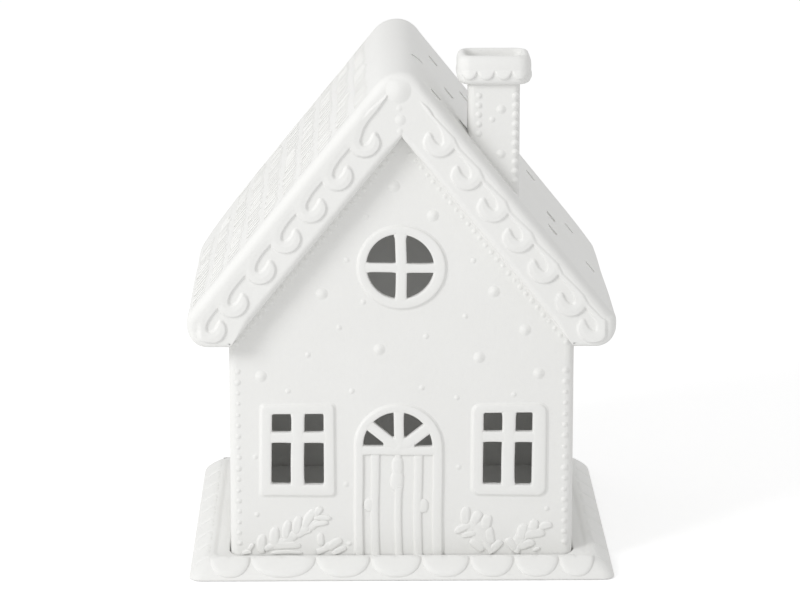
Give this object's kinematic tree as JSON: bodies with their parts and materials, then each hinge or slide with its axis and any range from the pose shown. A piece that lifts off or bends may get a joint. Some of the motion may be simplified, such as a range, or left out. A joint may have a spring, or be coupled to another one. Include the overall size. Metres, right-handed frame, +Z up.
{
  "type": "tealight house",
  "caption": "White ceramic cottage for a tealight: hollow house with open windows, fanlight door and vented chimney, lifting off a scalloped tray.",
  "frame": {"origin": "middle of the tray's underside, on the table", "axes": "+Z up, the door and gable window face -Y, +X to the right as seen from the front"},
  "size_m": [0.17, 0.164, 0.2089],
  "materials": {
    "ceramic": "matte",
    "cup": "satin",
    "wax": "satin",
    "wick": "matte",
    "tin": "satin"
  },
  "bodies": {
    "base": {"base_tray": "ceramic"},
    "house": {"house_walls": "ceramic", "roof": "ceramic", "chimney_stack": "ceramic", "chimney_cap": "ceramic", "window_left": "ceramic", "window_right": "ceramic", "window_gable": "ceramic", "door_surround": "ceramic", "door_leaf": "ceramic", "icing_left": "ceramic", "icing_right": "ceramic", "apex_boss": "ceramic"},
    "tealight": {"tealight_cup": "cup", "tealight_wax": "wax", "tealight_wick": "wick", "wick_foot": "tin"}
  },
  "joints": [
    {"name": "house_lift", "type": "slide", "parent": "base", "child": "house", "axis": [0, 0, 1], "range_m": [0, 0.1]},
    {"name": "tealight_lift", "type": "slide", "parent": "base", "child": "tealight", "axis": [0, 0, 1], "range_m": [0, 0.05]}
  ]
}
